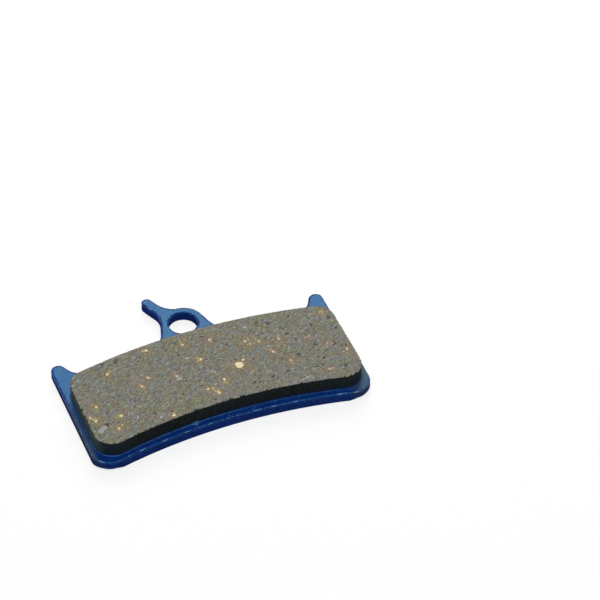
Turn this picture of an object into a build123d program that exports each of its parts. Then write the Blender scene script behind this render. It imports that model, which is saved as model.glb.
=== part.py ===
from build123d import *
import os
from math import cos, radians, sin, sqrt, tan

# Bicycle disc brake pad: a stamped steel backing plate that carries a moulded friction block.
# Millimetres. X runs along the pad, Y from the hub side to the ear, Z out of the friction face.
# The origin is on the back face, where the pistons push, behind the middle of the friction block.

# Friction block
friction_height = 17.3            # across the block, on its centreline
friction_thickness = 2.8
friction_top_radius = 96.0        # outer edge, curved with the disc
friction_bottom_radius = 84.0     # hub side edge, arched the same way
friction_corner_radius = 3.2

# Backing plate
plate_length = 48.0
plate_thickness = 1.8
side_margin = 1.0                 # plate beyond the block at each end
bottom_margin = 1.25              # plate beyond the block on the hub side
top_margin = 1.9                  # plate beyond the block on the ear side
plate_bottom_radius = 90.0        # hub side edge
plate_corner_radius = 3.2
front_edge_round = 0.3            # rolled over by the blanking die
back_edge_break = 0.1             # chamfer on the burr side
root_fillet = 2.0                 # where the horns and the ear grow out of the plate

# Horns at the two upper corners
horn_height = 4.5                 # above the end of the plate's top edge
horn_tip_radius = 1.2
horn_flank_angle = 62.5           # inner flank, from the pad's length

# Ear with the eye for the retaining pin
eye_radius = 2.4
eye_wall = 1.35
eye_rise = 3.1                    # eye's centre above the plate's top edge
ear_flank_angle = 72.0            # flank, from the pad's length

# Finger beside the eye
finger_width = 1.8
finger_lean = 24.5                # from straight up
finger_offset = 0.7               # its centreline passes this far beside the eye's centre
finger_reach = 8.8                # from the eye's centre to its end, along the finger
finger_inner_fillet = 3.9         # blend onto the eye's rim, on the side it leans away from
finger_outer_fillet = 3.3         # blend onto the ear's flank, on the side it leans to


def unit(angle):
    """Unit vector at an angle from +X, in degrees."""
    return Vector(cos(radians(angle)), sin(radians(angle)))


def mirrored(point):
    """The same point on the other side of the pad's middle."""
    return Vector(-point.X, point.Y)


def arc_drop(radius, half_chord):
    """How far an arc falls from its crown at half a chord from the middle."""
    return radius - sqrt(radius**2 - half_chord**2)


def flank_foot(start, angle, height):
    """Where a flank that slopes down to the right from start reaches a height."""
    return Vector(start.X + (start.Y - height) / tan(radians(angle)), height)


def lines_cross(centre, angle_a, distance_a, angle_b, distance_b):
    """Where two lines cross, each given by its normal's angle and its distance from a centre."""
    turn = radians(angle_b - angle_a)
    slide = (distance_b - distance_a * cos(turn)) / sin(turn)
    return centre + unit(angle_a) * distance_a + unit(angle_a + 90) * slide


def arched_outline(half_length, top, bottom, top_radius, bottom_radius):
    """Draws straight ends between two arcs that both bulge towards +Y."""
    top_end = top - arc_drop(top_radius, half_length)
    bottom_end = bottom - arc_drop(bottom_radius, half_length)
    ThreePointArc((-half_length, top_end), (0, top), (half_length, top_end))
    Line((half_length, top_end), (half_length, bottom_end))
    ThreePointArc((half_length, bottom_end), (0, bottom), (-half_length, bottom_end))
    Line((-half_length, bottom_end), (-half_length, top_end))


def blend_corner(part, corner, radius):
    """Rounds the upright edge of a part that is nearest to a corner of its outline."""
    fillet(part.edges().filter_by(Axis.Z).sort_by_distance(corner)[0], radius)


# Places that follow from the sizes
friction_half_length = plate_length / 2 - side_margin
friction_top = friction_height / 2
friction_bottom = -friction_height / 2
plate_half_length = plate_length / 2
plate_top = friction_top + top_margin
plate_bottom = friction_bottom - bottom_margin
plate_top_radius = friction_top_radius + top_margin
plate_top_end = plate_top - arc_drop(plate_top_radius, plate_half_length)

# Left horn: centre of its tip, ends of its inner flank
horn_tip = Vector(horn_tip_radius - plate_half_length, plate_top_end + horn_height - horn_tip_radius)
horn_flank_top = horn_tip + unit(90 - horn_flank_angle) * horn_tip_radius
horn_corner = flank_foot(horn_flank_top, horn_flank_angle, plate_top_end)

# Ear: right flank from the eye's rim down into the plate
rim_radius = eye_radius + eye_wall
eye_centre = Vector(0, plate_top + eye_rise)
ear_flank_top = eye_centre + unit(90 - ear_flank_angle) * rim_radius
ear_corner = flank_foot(ear_flank_top, ear_flank_angle, plate_top)
ear_flank_foot = flank_foot(ear_flank_top, ear_flank_angle, friction_top)

# Finger: its line, and the corners it makes with the rim and with the ear's left flank
finger_along = unit(90 + finger_lean)
finger_across = unit(180 + finger_lean)
finger_length = finger_reach - finger_width / 2
finger_middle = eye_centre + finger_across * finger_offset + finger_along * (finger_length / 2)
finger_inner_corner = eye_centre + finger_along * rim_radius
finger_outer_corner = lines_cross(
    eye_centre, 90 + ear_flank_angle, rim_radius, 180 + finger_lean, finger_offset + finger_width / 2
)

with BuildPart() as backing_plate:
    with BuildSketch() as plate_outline:
        # Arched blank, rounded at its two corners on the hub side
        with BuildLine():
            arched_outline(
                plate_half_length, plate_top, plate_bottom, plate_top_radius, plate_bottom_radius
            )
        make_face()
        fillet(plate_outline.vertices().group_by(Axis.Y)[0], plate_corner_radius)

        # Horns: outer side in line with the plate's end, round tip, sloping inner flank
        with BuildLine():
            horn_side = Line((-plate_half_length, plate_top_end), (-plate_half_length, horn_tip.Y))
            horn_round = TangentArc(horn_side @ 1, horn_flank_top, tangent=horn_side % 1)
            Polyline(horn_round @ 1, horn_corner, horn_side @ 0)
        make_face()
        mirror(about=Plane.YZ)

        # Ear: round rim of the eye on two flanks that flare into the plate
        with BuildLine():
            Polyline(eye_centre, ear_flank_top, ear_flank_foot)
            Polyline(ear_flank_foot, mirrored(ear_flank_foot), finger_outer_corner, eye_centre)
        make_face()
        with Locations(eye_centre):
            Circle(rim_radius)

        # Finger: a round-ended bar that leans away beside the eye
        with Locations(finger_middle):
            SlotCenterToCenter(finger_length, finger_width, rotation=90 + finger_lean)

        # Eye for the retaining pin
        with Locations(eye_centre):
            Circle(eye_radius, mode=Mode.SUBTRACT)
    extrude(amount=plate_thickness)

    # Blends in the inner corners of the outline
    blend_corner(backing_plate, horn_corner, root_fillet)
    blend_corner(backing_plate, mirrored(horn_corner), root_fillet)
    blend_corner(backing_plate, ear_corner, root_fillet)
    blend_corner(backing_plate, mirrored(ear_corner), root_fillet)
    blend_corner(backing_plate, finger_inner_corner, finger_inner_fillet)
    blend_corner(backing_plate, finger_outer_corner, finger_outer_fillet)

    # Edges of the stamping
    fillet(backing_plate.faces().sort_by(Axis.Z)[-1].edges(), front_edge_round)
    chamfer(backing_plate.faces().sort_by(Axis.Z)[0].edges(), back_edge_break)
backing_plate.part.label = "backing_plate"

with BuildPart() as friction_block:
    with BuildSketch(Plane.XY.offset(plate_thickness)) as friction_outline:
        with BuildLine():
            arched_outline(
                friction_half_length,
                friction_top,
                friction_bottom,
                friction_top_radius,
                friction_bottom_radius,
            )
        make_face()
        fillet(friction_outline.vertices(), friction_corner_radius)
    extrude(amount=friction_thickness)
friction_block.part.label = "friction_block"

os.makedirs("parts", exist_ok=True)
export_step(backing_plate.part, "parts/backing_plate.step")
export_step(friction_block.part, "parts/friction_block.step")
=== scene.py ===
import logging
from dataclasses import dataclass
from enum import Enum, IntEnum
from typing import Any

import bpy
import numpy as np
from mathutils import Matrix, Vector
from mathutils.geometry import tessellate_polygon


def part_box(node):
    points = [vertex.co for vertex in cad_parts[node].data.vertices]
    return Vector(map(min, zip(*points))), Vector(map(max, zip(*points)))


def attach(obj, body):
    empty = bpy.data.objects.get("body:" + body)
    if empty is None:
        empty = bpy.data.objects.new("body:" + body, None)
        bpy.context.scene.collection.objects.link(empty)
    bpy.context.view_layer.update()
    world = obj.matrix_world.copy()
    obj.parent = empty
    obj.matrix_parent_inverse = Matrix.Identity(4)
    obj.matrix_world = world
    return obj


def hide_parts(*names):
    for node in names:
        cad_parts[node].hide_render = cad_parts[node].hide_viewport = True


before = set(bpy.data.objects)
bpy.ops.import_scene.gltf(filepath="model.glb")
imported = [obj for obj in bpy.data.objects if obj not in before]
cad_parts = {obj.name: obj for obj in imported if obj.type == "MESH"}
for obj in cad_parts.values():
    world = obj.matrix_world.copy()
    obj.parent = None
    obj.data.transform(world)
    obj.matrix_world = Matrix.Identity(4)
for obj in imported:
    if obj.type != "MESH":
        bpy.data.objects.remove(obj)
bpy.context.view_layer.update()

log = logging.getLogger("brake_pad")

MM = 0.001  # the sizes below are millimetres, and Blender works in metres

Colour = tuple[float, float, float, float]
Place = tuple[float, float]


class Slot(Enum):
    """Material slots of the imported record."""

    PAINT = "blue_paint"
    COMPOUND = "friction_compound"


class PlateFinish(IntEnum):
    """The plate's materials, by the numbers that its faces carry."""

    FACE = 0
    # Paint without sheen on walls and far edges: painted shade
    SHEENLESS_EDGE = 1


SIZE_DIGITS = 4  # decimals of a millimetre to which the frame's single-precision meshes are good


def node_corners(node: str) -> np.ndarray:
    """Lowest and highest corner of a CAD node, in millimetres."""
    return np.round(np.array(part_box(node)) / MM, SIZE_DIGITS)


# Plane geometry

ARC_STEP = 1.5  # degrees from point to point of an arc, at most
ARC_POINTS = 3  # points of the shortest arc


def unit(degrees: float | np.ndarray) -> np.ndarray:
    """Unit vectors at angles from +X, with cosine and sine on the last axis."""
    angle = np.radians(degrees)
    return np.stack([np.cos(angle), np.sin(angle)], axis=-1)


def heading(vector: np.ndarray) -> float:
    """Angle of a plane vector from +X, in degrees."""
    return float(np.degrees(np.arctan2(vector[1], vector[0])))


def mirrored(point: np.ndarray) -> np.ndarray:
    """The same plane point on the other side of the pad's middle."""
    return np.array([-point[0], point[1]])


def eased(value: np.ndarray, low: float, high: float) -> np.ndarray:
    """S-shaped share from 0 at low to 1 at high: three squares less two cubes of the straight share."""
    share = np.clip((value - low) / (high - low), 0, 1)
    return share * share * (3 - 2 * share)


def clockwise(start: float, end: float) -> tuple[float, float]:
    """Start and end of a clockwise arc, with the end brought to less than a turn below the start."""
    return start, start - (start - end) % 360


def anticlockwise(start: float, end: float) -> tuple[float, float]:
    """Start and end of an anticlockwise arc, with the end brought to less than a turn above the start."""
    return start, start + (end - start) % 360


@dataclass(frozen=True)
class Arc:
    """Round stretch of an outline, from one angle to another about its centre."""

    centre: np.ndarray
    radius: float
    start: float
    end: float

    def points(self) -> np.ndarray:
        """Points along the arc: the centre plus the radius times a turning unit vector."""
        count = max(ARC_POINTS, int(abs(self.end - self.start) / ARC_STEP) + 2)
        return self.centre + self.radius * unit(np.linspace(self.start, self.end, count))

    def mirrored(self) -> "Arc":
        """The arc on the other side of the pad's middle, run through the other way."""
        return Arc(mirrored(self.centre), self.radius, 180 - self.end, 180 - self.start)


class Outline:
    """Closed outline made of arcs, with a straight line from each arc's end to the next one's start."""

    def __init__(self, arcs: list[Arc]) -> None:
        """Joins the arcs.

        Args:
            arcs: The round stretches, in the order in which the outline runs through them.
        """
        loop = np.concatenate([arc.points() for arc in arcs])
        self.points = np.vstack([loop, loop[:1]])
        steps = np.linalg.norm(np.diff(self.points, axis=0), axis=1)
        self.travel = np.concatenate([[0.0], np.cumsum(steps)])
        self.length = float(self.travel[-1])

    def even_steps(self, spacing: float) -> np.ndarray:
        """Distances along the whole outline, in even steps of about a spacing."""
        count = int(self.length / spacing)
        return np.arange(count) * self.length / count

    def at(self, travel: np.ndarray) -> np.ndarray:
        """Points at distances along the outline, taken round as often as needed.

        Args:
            travel: Distances along the outline.

        Returns:
            One plane point for each distance.
        """
        wrapped = np.mod(travel, self.length)
        axes = [np.interp(wrapped, self.travel, self.points[:, axis]) for axis in (0, 1)]
        return np.stack(axes, axis=-1)

    def outward(self, travel: np.ndarray, reach: float = 0.04) -> np.ndarray:
        """Outward normals along an anticlockwise outline, or normals into the hole of a clockwise one.

        Args:
            travel: Distances along the outline.
            reach: Half of the stretch over which the direction is taken.

        Returns:
            One unit vector for each distance: the outline's direction turned to the right.
        """
        along = self.at(travel + reach) - self.at(travel - reach)
        along /= np.linalg.norm(along, axis=1, keepdims=True)
        return np.stack([along[:, 1], -along[:, 0]], axis=-1)

    def nearest(self, point: np.ndarray) -> float:
        """Distance along the outline to its corner point that is nearest to a plane point."""
        return float(self.travel[np.argmin(np.linalg.norm(self.points[:-1] - point, axis=1))])


@dataclass(frozen=True)
class ArchedBlock:
    """Outline of a block with straight ends between two arcs that both bulge towards +Y."""

    half_length: float
    top: float
    bottom: float
    top_radius: float
    bottom_radius: float
    corner_radius: float

    def top_centre(self) -> np.ndarray:
        """Centre of the outer edge's arc."""
        return np.array([0.0, self.top - self.top_radius])

    def bottom_centre(self) -> np.ndarray:
        """Centre of the hub side edge's arc."""
        return np.array([0.0, self.bottom - self.bottom_radius])

    def corner_centre(self, arc_centre: np.ndarray, reach: float) -> np.ndarray:
        """Centre of a right-hand corner's rounding, at a reach from the centre of the arc it blends into."""
        x = self.half_length - self.corner_radius
        return np.array([x, arc_centre[1] + np.sqrt(reach**2 - x**2)])

    def bottom_corner(self) -> Arc:
        """Rounding of the right-hand corner on the hub side."""
        centre = self.corner_centre(self.bottom_centre(), self.bottom_radius + self.corner_radius)
        return Arc(centre, self.corner_radius, heading(self.bottom_centre() - centre), 0.0)

    def top_corner(self) -> Arc:
        """Rounding of the right-hand corner on the ear side."""
        centre = self.corner_centre(self.top_centre(), self.top_radius - self.corner_radius)
        return Arc(centre, self.corner_radius, 0.0, heading(centre - self.top_centre()))

    def bottom_arc(self) -> Arc:
        """Hub side edge, from the left-hand corner's rounding to the right-hand one's."""
        end = heading(self.bottom_corner().centre - self.bottom_centre())
        return Arc(self.bottom_centre(), self.bottom_radius, 180 - end, end)

    def top_arc(self) -> Arc:
        """Outer edge, from the right-hand corner's rounding to the left-hand one's."""
        start = heading(self.top_corner().centre - self.top_centre())
        return Arc(self.top_centre(), self.top_radius, start, 180 - start)

    def outline(self) -> Outline:
        """The whole outline, anticlockwise from the left-hand end of the hub side edge."""
        low, high = self.bottom_corner(), self.top_corner()
        return Outline([self.bottom_arc(), low, high, self.top_arc(), high.mirrored(), low.mirrored()])


# Surface noise

# Multipliers, shifts and masks that mix the bits of a lattice cell's numbers
LATTICE_COLUMN, LATTICE_ROW, LATTICE_SEED, LATTICE_MIX = 374761393, 668265263, 144269504, 1274126177
FIRST_SHIFT, SECOND_SHIFT = 13, 16
LOW_WORD = 0xFFFFFFFF
LOW_BYTES = 0xFFFFFF


def lattice_value(column: np.ndarray, row: np.ndarray, seed: int) -> np.ndarray:
    """Steady random value for each cell of a whole-number lattice.

    Args:
        column: Whole-number column of each cell.
        row: Whole-number row of each cell.
        seed: Number of the lattice.

    Returns:
        Values from 0 to 1, mixed from the bits of column, row and seed.
    """
    mixed = column.astype(np.int64) * LATTICE_COLUMN + row.astype(np.int64) * LATTICE_ROW
    mixed = (mixed + seed * LATTICE_SEED) & LOW_WORD
    mixed = ((mixed ^ (mixed >> FIRST_SHIFT)) * LATTICE_MIX) & LOW_WORD
    return ((mixed ^ (mixed >> SECOND_SHIFT)) & LOW_BYTES) / float(LOW_BYTES)


@dataclass(frozen=True)
class Noise:
    """Random field over a plane: layers of smooth noise whose cells and strength halve each time."""

    cell: float
    seed: int
    layers: int = 3
    strength: float = 1.0

    def layer(self, x: np.ndarray, y: np.ndarray, number: int) -> np.ndarray:
        """One layer of the field.

        Args:
            x: First coordinates.
            y: Second coordinates.
            number: How often the cells are halved.

        Returns:
            Values from -1 to 1: those of a cell's four corners, blended across it with an S-shaped weight.
        """
        cell, seed = self.cell / 2**number, self.seed + number
        column, row = np.floor(x / cell), np.floor(y / cell)
        across, along = eased(x / cell - column, 0, 1), eased(y / cell - row, 0, 1)
        left = [lattice_value(column, row + step, seed) * (1 - across) for step in (0, 1)]
        right = [lattice_value(column + 1, row + step, seed) * across for step in (0, 1)]
        return 2 * ((left[0] + right[0]) * (1 - along) + (left[1] + right[1]) * along) - 1

    def at(self, x: np.ndarray, y: np.ndarray) -> np.ndarray:
        """The field at given points: the layers' weighted sum, between about plus and minus its strength."""
        total = sum(self.layer(x, y, number) / 2**number for number in range(self.layers))
        return self.strength * total / (2 - 2.0 ** (1 - self.layers))


# Meshes


def ring_faces(rows: int, count: int, first: int = 0, tube: bool = False) -> np.ndarray:
    """Faces of a closed strip whose vertices are stored row by row.

    Args:
        rows: Number of rows, each a closed ring.
        count: Vertices in a ring.
        first: Number of the strip's first vertex.
        tube: Whether the last row joins the first one, as in a tube.

    Returns:
        One line of four vertex numbers per face, turning outwards where rows climb an anticlockwise ring.
    """
    row, step = np.meshgrid(np.arange(rows if tube else rows - 1), np.arange(count), indexing="ij")
    beside, above = (step + 1) % count, (row + 1) % rows
    corners = [row * count + step, row * count + beside, above * count + beside, above * count + step]
    return first + np.stack(corners, axis=-1).reshape(-1, 4)


def swept_rings(path: np.ndarray, outward: np.ndarray, inset: np.ndarray, height: np.ndarray) -> np.ndarray:
    """Surface of a profile carried along a closed path.

    Args:
        path: Plane points of the path.
        outward: Outward unit vector at each of them.
        inset: How far each profile row lies inside the path at each of them, one line per row.
        height: Height of each profile row at each of them, one line per row.

    Returns:
        Vertices row by row: the path's point moved inwards by the inset, at the height.
    """
    plane = path[None] - outward[None] * inset[..., None]
    return np.concatenate([plane, height[..., None]], axis=-1).reshape(-1, 3)


def flat_fill(rings: list[np.ndarray], up: bool) -> np.ndarray:
    """Triangles that fill a flat face between its outer ring and any holes.

    Args:
        rings: Plane points of the outer ring, then of each hole.
        up: Whether the face looks along +Z.

    Returns:
        One line of three numbers per triangle, counted through the rings one after the other.
    """
    raised = [np.pad(ring, ((0, 0), (0, 1))).tolist() for ring in rings]
    triangles = np.array(tessellate_polygon(raised))
    corners = np.concatenate(rings)[triangles]
    one, two = corners[:, 1] - corners[:, 0], corners[:, 2] - corners[:, 0]
    turns_up = one[:, 0] * two[:, 1] - one[:, 1] * two[:, 0] > 0
    return np.where((turns_up == up)[:, None], triangles, triangles[:, ::-1])


def make_piece(
    name: str,
    vertices: np.ndarray,
    faces: list[np.ndarray],
    attributes: dict[str, np.ndarray] | None = None,
    finish: np.ndarray | None = None,
    smooth: bool = True,
) -> bpy.types.Object:
    """Puts worked-out vertices and faces into a mesh object at the origin.

    Args:
        name: Name of the piece.
        vertices: One line of three millimetre coordinates per vertex.
        faces: Arrays of vertex numbers, one line per face.
        attributes: Values per vertex that the materials read, by name.
        finish: Number of each face's material, where the piece has several.
        smooth: Whether faces are shaded as one curved surface.

    Returns:
        The piece, linked into the scene.
    """
    mesh = bpy.data.meshes.new(name)
    mesh.from_pydata((vertices * MM).tolist(), [], [face for block in faces for face in block.tolist()])
    mesh.polygons.foreach_set("use_smooth", np.full(len(mesh.polygons), smooth))
    if finish is not None:
        mesh.polygons.foreach_set("material_index", finish.astype(np.int32))
    for label, values in (attributes or {}).items():
        layer = mesh.attributes.new(label, "FLOAT", "POINT")
        layer.data.foreach_set("value", values.astype(np.float32))
    mesh.update()
    piece = bpy.data.objects.new(name, mesh)
    bpy.context.scene.collection.objects.link(piece)
    return piece


# Shader nodes


@dataclass(frozen=True)
class Grain:
    """Layered noise in a finish: grains per millimetre, and how far its middle values are stretched."""

    per_mm: float
    contrast: float


@dataclass(frozen=True)
class Specks:
    """Specks in a finish: cells per millimetre, share of cells that hold one, size in cells, strength."""

    per_mm: float
    share: float
    size: float
    strength: float = 1.0


@dataclass(frozen=True)
class Ramp:
    """Smooth change from one result to another while a value goes from low to high."""

    low: float
    high: float
    at_low: float = 0.0
    at_high: float = 1.0


class NodeSheet:
    """Adds and joins the nodes of one shader tree."""

    def __init__(self, tree: bpy.types.NodeTree) -> None:
        """Takes over the node tree of a material, a group or a world, and clears it."""
        self.tree = tree
        tree.nodes.clear()

    def join(self, node: bpy.types.Node, inputs: dict[Any, Any]) -> None:
        """Fills inputs of a node.

        Args:
            node: The node.
            inputs: Values to set, or sockets to join, by the name or number of the input.
        """
        for label, value in inputs.items():
            if isinstance(value, bpy.types.NodeSocket):
                self.tree.links.new(value, node.inputs[label])
            else:
                node.inputs[label].default_value = value

    def add(self, kind: str, inputs: dict[Any, Any] | None = None, **settings: Any) -> bpy.types.Node:
        """Adds a node.

        Args:
            kind: Node type, without the prefix that shader nodes have.
            inputs: Values or sockets, by the name or number of the node's input.
            settings: Properties of the node.

        Returns:
            The node.
        """
        prefix = "" if kind.startswith("NodeGroup") else "ShaderNode"
        node = self.tree.nodes.new(prefix + kind)
        for label, value in settings.items():
            setattr(node, label, value)
        self.join(node, inputs or {})
        return node

    def math(self, operation: str, *values: Any) -> bpy.types.NodeSocket:
        """Adds a Math node and returns its result; values are numbers or sockets."""
        return self.add("Math", dict(enumerate(values)), operation=operation).outputs[0]

    def product(self, *values: Any) -> bpy.types.NodeSocket:
        """Multiplies two or more numbers or sockets.

        Args:
            values: Numbers or sockets, the first of them a socket.

        Returns:
            Their product.
        """
        result = values[0]
        for value in values[1:]:
            result = self.math("MULTIPLY", result, value)
        return result

    def ramp(self, value: bpy.types.NodeSocket, ramp: Ramp) -> bpy.types.NodeSocket:
        """Adds a clamped, smooth Map Range node.

        Args:
            value: Value that changes.
            ramp: Its range and the two results.

        Returns:
            The result.
        """
        inputs = {"Value": value, "From Min": ramp.low, "From Max": ramp.high}
        inputs |= {"To Min": ramp.at_low, "To Max": ramp.at_high}
        return self.add("MapRange", inputs, interpolation_type="SMOOTHSTEP").outputs[0]

    def mix(self, share: Any, one: Any, two: Any, blend: str = "MIX") -> bpy.types.NodeSocket:
        """Adds a colour Mix node and returns its colour."""
        node = self.add("Mix", {0: share, 6: one, 7: two}, data_type="RGBA", blend_type=blend)
        return node.outputs[2]

    def place(self, group: bpy.types.NodeTree, **inputs: Any) -> bpy.types.Node:
        """Adds a node group with values or sockets for its named inputs and returns its node."""
        return self.add("Group", inputs, node_tree=group)


class GroupSheet(NodeSheet):
    """Sheet of a new shader node group."""

    def __init__(self, name: str, vectors: tuple[str, ...], floats: tuple[str, ...], output: str) -> None:
        """Starts the group with its named sockets.

        Args:
            name: Name of the group.
            vectors: Names of its vector inputs.
            floats: Names of its number inputs.
            output: Name of its one output, a number.
        """
        super().__init__(bpy.data.node_groups.new(name, "ShaderNodeTree"))
        kinds = dict.fromkeys(vectors, "NodeSocketVector") | dict.fromkeys(floats, "NodeSocketFloat")
        for label, kind in kinds.items():
            self.tree.interface.new_socket(label, in_out="INPUT", socket_type=kind)
        self.tree.interface.new_socket(output, in_out="OUTPUT", socket_type="NodeSocketFloat")
        self.given = self.add("NodeGroupInput").outputs
        self.result = self.add("NodeGroupOutput")

    def closed(self, value: bpy.types.NodeSocket) -> bpy.types.NodeTree:
        """Joins a value to the group's output and returns the group."""
        self.join(self.result, {0: value})
        return self.tree


@dataclass(frozen=True)
class GrainEffect:
    """Layered noise with its middle values stretched, as a value from 0 to 1."""

    detail: float = 3.0
    roughness: float = 0.6
    middle: float = 0.5

    def group(self) -> bpy.types.NodeTree:
        """Builds the effect.

        Returns:
            Group with inputs Vector, Grains (per millimetre) and Contrast, and the output Value.
        """
        sheet = GroupSheet("grain", ("Vector",), ("Grains", "Contrast"), "Value")
        given = sheet.given
        inputs = {"Vector": given["Vector"], "Scale": given["Grains"]}
        inputs |= {"Detail": self.detail, "Roughness": self.roughness}
        centred = sheet.math("SUBTRACT", sheet.add("TexNoise", inputs).outputs[0], self.middle)
        stretched = sheet.math("MULTIPLY_ADD", centred, given["Contrast"], self.middle)
        return sheet.closed(sheet.add("Clamp", {0: stretched}).outputs[0])


@dataclass(frozen=True)
class SpeckEffect:
    """Scattered specks with uneven edges: a share of random cells, each filled out to a size of its own."""

    wobbles_per_cell: float = 2.3
    wobble_detail: float = 1.0
    wobble_reach: float = 0.55
    smallest: float = 0.6
    size_range: float = 0.8
    edge: Ramp = Ramp(0.0, 0.08)

    def group(self) -> bpy.types.NodeTree:
        """Builds the effect.

        Returns:
            Group with inputs Vector, Cells (per millimetre), Share and Size (of a cell), and the output Mask.
        """
        sheet = GroupSheet("specks", ("Vector",), ("Cells", "Share", "Size"), "Mask")
        given = sheet.given
        scaling = {0: given["Vector"], "Scale": given["Cells"]}
        scaled = sheet.add("VectorMath", scaling, operation="SCALE").outputs[0]
        wobbling = {"Vector": scaled, "Scale": self.wobbles_per_cell, "Detail": self.wobble_detail}
        wobble = sheet.add("TexNoise", wobbling).outputs[1]
        bending = {0: wobble, 1: (self.wobble_reach,) * 3, 2: scaled}
        bent = sheet.add("VectorMath", bending, operation="MULTIPLY_ADD").outputs[0]
        cells = sheet.add("TexVoronoi", {"Vector": bent, "Scale": 1.0, "Randomness": 1.0})
        random = sheet.add("SeparateColor", {0: cells.outputs["Color"]}).outputs
        chosen = sheet.math("LESS_THAN", random[0], given["Share"])
        own_share = sheet.math("MULTIPLY_ADD", random[2], self.size_range, self.smallest)
        own_size = sheet.product(given["Size"], own_share)
        inside = sheet.math("SUBTRACT", own_size, cells.outputs["Distance"])
        return sheet.closed(sheet.product(sheet.ramp(inside, self.edge), chosen))


@dataclass(frozen=True)
class SharedEffects:
    """Node groups that several finishes use."""

    grain: bpy.types.NodeTree
    specks: bpy.types.NodeTree


class FinishSheet(NodeSheet):
    """Sheet of a new material with one Principled shader, with the shared effects at hand."""

    def __init__(self, name: str, effects: SharedEffects) -> None:
        """Starts the material.

        Args:
            name: Name of the material.
            effects: Node groups shared by the finishes.
        """
        self.material = bpy.data.materials.new(name)
        self.material.use_nodes = True
        super().__init__(self.material.node_tree)
        self.effects = effects
        self.shader = self.add("BsdfPrincipled")
        self.add("OutputMaterial", {"Surface": self.shader.outputs[0]})
        metres = self.add("TexCoord").outputs["Object"]
        self.where = self.add("VectorMath", {0: metres, "Scale": 1 / MM}, operation="SCALE").outputs[0]

    def axes(self) -> bpy.types.bpy_prop_collection:
        """Adds the three millimetre coordinates and returns their sockets."""
        return self.add("SeparateXYZ", {0: self.where}).outputs

    def grain(self, grain: Grain, vector: bpy.types.NodeSocket) -> bpy.types.NodeSocket:
        """Places layered noise on a vector and returns its value."""
        inputs = {"Vector": vector, "Grains": grain.per_mm, "Contrast": grain.contrast}
        return self.place(self.effects.grain, **inputs).outputs["Value"]

    def specks(self, specks: Specks, vector: bpy.types.NodeSocket) -> bpy.types.NodeSocket:
        """Places scattered specks on a vector.

        Args:
            specks: Their fineness, share, size and strength.
            vector: Coordinates in millimetres.

        Returns:
            Mask that has the strength inside a speck, and 0 between specks.
        """
        inputs = {"Vector": vector, "Cells": specks.per_mm, "Share": specks.share, "Size": specks.size}
        return self.product(self.place(self.effects.specks, **inputs).outputs["Mask"], specks.strength)

    def vertex_value(self, name: str) -> bpy.types.NodeSocket:
        """Adds a value that the piece's vertices carry and returns it, 0 where they carry none."""
        return self.add("Attribute", attribute_name=name).outputs["Fac"]

    def shaded(self, colour: Any, factor: bpy.types.NodeSocket) -> bpy.types.NodeSocket:
        """Multiplies a colour by a factor or by another colour."""
        return self.mix(1.0, colour, factor, "MULTIPLY")

    def finished(
        self, inputs: dict[str, Any], height: bpy.types.NodeSocket, depth: float, strength: float = 1.0
    ) -> bpy.types.Material:
        """Joins everything to the shader.

        Args:
            inputs: Values or sockets, by the name of the shader's input.
            height: Height of the surface, from 0 to 1.
            depth: Height difference in millimetres.
            strength: Strength of the bump.

        Returns:
            The material.
        """
        bump = self.add("Bump", {"Strength": strength, "Distance": depth * MM, "Height": height})
        self.join(self.shader, {**inputs, "Normal": bump.outputs[0]})
        return self.material


# Finishes


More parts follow.
